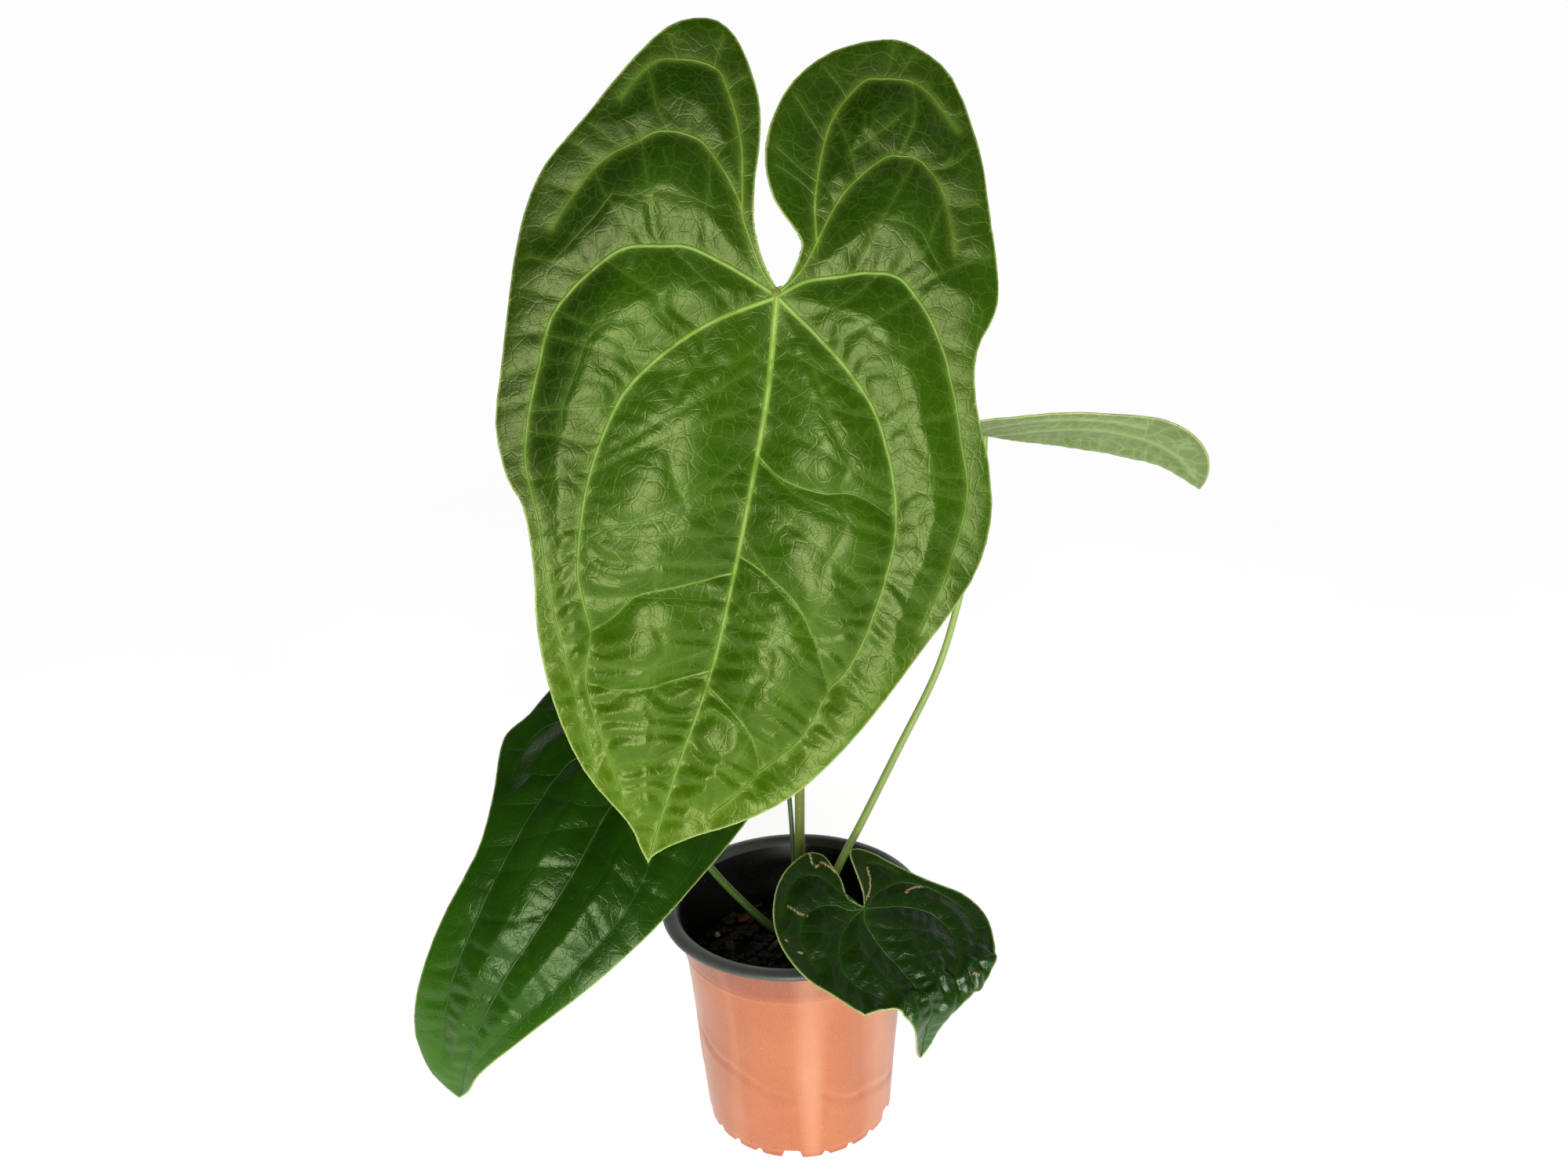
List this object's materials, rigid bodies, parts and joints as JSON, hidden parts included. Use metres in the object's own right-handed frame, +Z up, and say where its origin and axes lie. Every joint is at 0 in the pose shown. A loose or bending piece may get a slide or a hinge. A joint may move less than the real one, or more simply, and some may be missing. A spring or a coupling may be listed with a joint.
{
  "type": "potted anthurium",
  "caption": "Young foliage plant with long heart-shaped leaves on slender stalks, growing from bark mix in a tapered nursery pot.",
  "frame": {"origin": "centre of the pot's underside, on the surface the pot stands on", "axes": "+Z up, -Y toward the side that the largest leaf's face looks, +X to the viewer's right from that side"},
  "size_m": [0.4112, 0.1884, 0.5941],
  "materials": {
    "pot_terracotta": "satin thin moulded plastic, terracotta outside, black inside and on the lip",
    "potting_mix": "dark damp bark mix",
    "stem": "green to brown stem, slightly rough",
    "root": "corky tan",
    "bark": "rough red-brown bark",
    "perlite": "rough white grains",
    "straw": "dry straw",
    "leaf_bright": "glossy quilted leaf, yellow-green with pale veins",
    "leaf_dark": "glossy dark green leaf with pale veins",
    "leaf_pale": "satin grey-green leaf",
    "stalk": "smooth satin green stalk",
    "sheath": "dry papery brown"
  },
  "bodies": {
    "root": {"nursery_pot": "pot_terracotta", "potting_mix": "potting_mix", "stem": "stem", "aerial_root_1": "root", "aerial_root_2": "root", "aerial_root_3": "root", "bark_chip_1": "bark", "bark_chip_2": "bark", "bark_chip_3": "bark", "bark_chip_4": "bark", "bark_chip_5": "bark", "bark_chip_6": "bark", "bark_chip_7": "bark", "bark_chip_8": "bark", "perlite_1": "perlite", "perlite_2": "perlite", "perlite_3": "perlite", "perlite_4": "perlite", "perlite_5": "perlite", "perlite_6": "perlite", "straw": "straw", "main_leaf_blade": "leaf_bright", "main_leaf_stalk": "stalk", "left_leaf_blade": "leaf_dark", "left_leaf_stalk": "stalk", "front_leaf_blade": "leaf_dark", "front_leaf_stalk": "stalk", "upper_right_leaf_blade": "leaf_dark", "upper_right_leaf_stalk": "stalk", "rear_leaf_blade": "leaf_pale", "rear_leaf_stalk": "stalk", "leaf_sheath_1": "sheath", "leaf_sheath_2": "sheath", "leaf_sheath_3": "sheath"}
  },
  "joints": []
}
